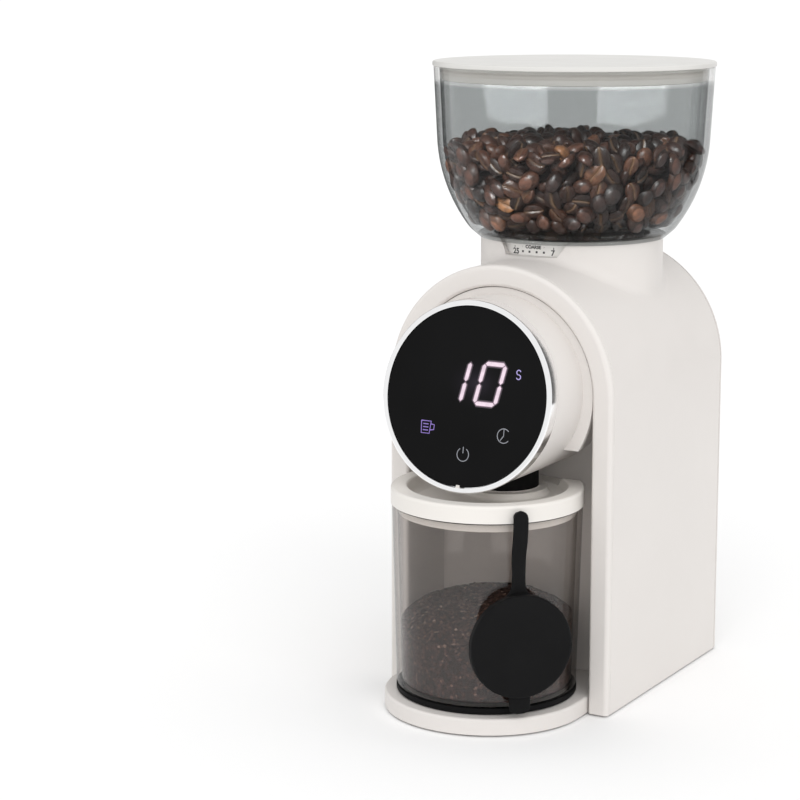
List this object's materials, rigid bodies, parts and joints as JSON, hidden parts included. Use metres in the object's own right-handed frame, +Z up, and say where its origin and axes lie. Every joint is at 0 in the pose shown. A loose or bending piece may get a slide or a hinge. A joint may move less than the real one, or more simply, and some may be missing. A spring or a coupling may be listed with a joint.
{
  "type": "burr coffee grinder",
  "caption": "Upright burr coffee grinder: arched body, clear bean hopper on a turning dial, round drum display, and a lidded grounds jar with a hanging stopper.",
  "frame": {"origin": "centre of the whole footprint, on the surface that the feet stand on", "axes": "+Z up; the display faces -Y; +X is the right side seen from the front"},
  "size_m": [0.1372, 0.2076, 0.3],
  "materials": {
    "shell": "fine satin moulding",
    "shell_lid": "satin moulding",
    "smoked_clear": "clear smoked plastic, polished",
    "smoked_jar": "clear smoked plastic, polished",
    "black_glass": "polished touch glass",
    "polished_ring": "bright chrome",
    "silicone": "matt silicone",
    "clear_seal": "translucent silicone",
    "burr_steel": "ground hardened steel",
    "bright_steel": "turned steel",
    "nylon": "natural nylon",
    "dark_plastic": "dark moulded plastic",
    "motor_paint": "painted steel can",
    "zinc_plate": "zinc plated sheet",
    "circuit": "green solder mask"
  },
  "bodies": {
    "housing": {"outer_shell": "shell", "front_frame": "shell", "rear_cover": "shell", "base_plate": "shell", "drum_housing": "shell", "rubber_feet": "silicone", "rear_screws": "bright_steel", "cord_gland": "silicone", "display_bezel": "polished_ring", "display_glass": "black_glass", "display_board": "circuit", "display_cable": "dark_plastic", "grounds_chute": "dark_plastic", "chute_boot": "silicone", "burr_chamber": "dark_plastic", "upper_bearing": "bright_steel", "lower_bearing": "bright_steel", "gearbox_housing": "dark_plastic", "gearbox_cover": "dark_plastic", "chamber_posts": "bright_steel", "idler_pin": "bright_steel", "motor_frame": "zinc_plate", "motor_dampers": "silicone", "motor_can": "motor_paint", "control_board": "circuit", "hopper_switch": "dark_plastic"},
    "dial": {"adjusting_ring": "shell_lid"},
    "hopper": {"hopper": "smoked_clear"},
    "cap": {"hopper_lid": "shell_lid", "hopper_seal": "clear_seal"},
    "carrier": {"burr_carrier": "dark_plastic", "ring_burr": "burr_steel"},
    "burr_drive": {"burr_shaft": "bright_steel", "cone_burr": "burr_steel", "cone_nut": "bright_steel", "impeller": "nylon", "output_gear": "nylon"},
    "idler": {"idler_gear": "nylon"},
    "rotor": {"motor_shaft": "bright_steel", "motor_pinion": "bright_steel"},
    "jar": {"jar_body": "smoked_jar", "jar_foot_ring": "silicone", "jar_gasket": "silicone", "jar_lid": "shell_lid"},
    "stopper": {"dust_stopper": "silicone"}
  },
  "joints": [
    {"name": "dial_turn", "type": "hinge", "parent": "housing", "child": "dial", "pos_m": [0, 0.0352, 0.2], "axis": [0, 0, 1], "range_deg": [-60, 60]},
    {"name": "hopper_lift", "type": "slide", "parent": "dial", "child": "hopper", "axis": [0, 0, 1], "range_m": [0, 0.1]},
    {"name": "cap_lift", "type": "slide", "parent": "hopper", "child": "cap", "axis": [0, 0, 1], "range_m": [0, 0.06]},
    {"name": "grind_gap", "type": "slide", "parent": "housing", "child": "carrier", "axis": [0, 0, 1], "range_m": [-0.0006, 0.0006]},
    {"name": "burr_spin", "type": "hinge", "parent": "housing", "child": "burr_drive", "pos_m": [0, 0.0352, 0.16], "axis": [0, 0, 1], "continuous": true},
    {"name": "idler_spin", "type": "hinge", "parent": "housing", "child": "idler", "pos_m": [0.025, 0.0352, 0.11], "axis": [0, 0, 1], "continuous": true},
    {"name": "motor_spin", "type": "hinge", "parent": "housing", "child": "rotor", "pos_m": [0, 0.0352, 0.06], "axis": [0, 0, 1], "continuous": true},
    {"name": "jar_slide", "type": "slide", "parent": "housing", "child": "jar", "axis": [0, -1, 0], "range_m": [0, 0.1]},
    {"name": "stopper_swing", "type": "hinge", "parent": "jar", "child": "stopper", "pos_m": [0.03352, -0.08267, 0.102], "axis": [0.7193, -0.6947, 0], "range_deg": [-75, 75]}
  ],
  "couplings": [
    {"joint": "grind_gap", "follows": "dial_turn", "m_per_rad": 0.00047746},
    {"joint": "idler_spin", "follows": "burr_spin", "ratio": -2.8462},
    {"joint": "motor_spin", "follows": "burr_spin", "ratio": 9.0128}
  ]
}
